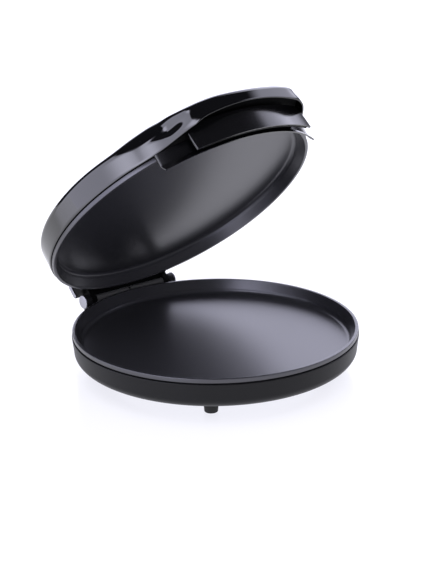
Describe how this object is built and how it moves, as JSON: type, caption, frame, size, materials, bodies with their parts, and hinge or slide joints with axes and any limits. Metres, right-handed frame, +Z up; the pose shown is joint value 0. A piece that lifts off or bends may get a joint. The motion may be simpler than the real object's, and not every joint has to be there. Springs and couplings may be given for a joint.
{
  "type": "countertop cooker with hinged lid",
  "caption": "Round electric countertop cooker with a deep non-stick plate in its base, a matching one in its hinged lid, a front visor with a lip handle, and rubber feet.",
  "frame": {"origin": "on the worktop under the middle of the open cooker, halfway between the front of the base and the back of the hinge bracket", "axes": "+Z up, -Y towards the handle, +X to the right as seen from the front"},
  "size_m": [0.323, 0.3576, 0.3209],
  "materials": {
    "satin_plastic": "satin moulded black plastic",
    "gloss_cover": "polished black plastic",
    "nonstick_plate": "cast metal with a dark satin non-stick coating",
    "rubber": "matt black rubber",
    "lead_sleeve": "heat-proof sleeve",
    "electrical_parts": "off-white ceramic and phenolic",
    "red_lens": "clear red lens",
    "green_lens": "clear green lens",
    "plated_sheet": "plated sheet steel",
    "steel": "plain steel"
  },
  "bodies": {
    "base": {"base_housing": "satin_plastic", "bottom_plate": "plated_sheet", "lower_baking_plate": "nonstick_plate", "lower_heating_element": "steel", "lower_element_clamps": "steel", "lower_reflector": "plated_sheet", "lower_plate_screws": "steel", "thermostat": "electrical_parts", "lower_thermal_fuse": "electrical_parts", "terminal_block": "electrical_parts", "cord_grommet": "rubber", "base_wiring": "lead_sleeve", "base_hinge_lead": "lead_sleeve", "hinge_pins": "steel", "foot_front_left": "rubber", "foot_front_right": "rubber", "foot_rear_left": "rubber", "foot_rear_right": "rubber", "foot_screws": "steel"},
    "lid": {"lid_cover": "gloss_cover", "lid_frame": "satin_plastic", "upper_baking_plate": "nonstick_plate", "upper_heating_element": "steel", "upper_element_clamps": "steel", "upper_reflector": "plated_sheet", "upper_plate_screws": "steel", "upper_thermal_fuse": "electrical_parts", "lid_hinge_lead": "lead_sleeve", "hinge_bracket": "satin_plastic", "bracket_screws": "steel", "hinge_barrel_left": "satin_plastic", "hinge_barrel_right": "satin_plastic", "front_guard": "satin_plastic", "handle_shell": "satin_plastic", "recess_ceiling": "satin_plastic", "handle_screws": "steel", "lamp_holder": "satin_plastic", "power_lens": "red_lens", "ready_lens": "green_lens"}
  },
  "joints": [
    {"name": "lid_hinge", "type": "hinge", "parent": "base", "child": "lid", "pos_m": [0, 0.14746, 0.048], "axis": [-1, 0, 0], "range_deg": [-45.5, 49.5]}
  ]
}
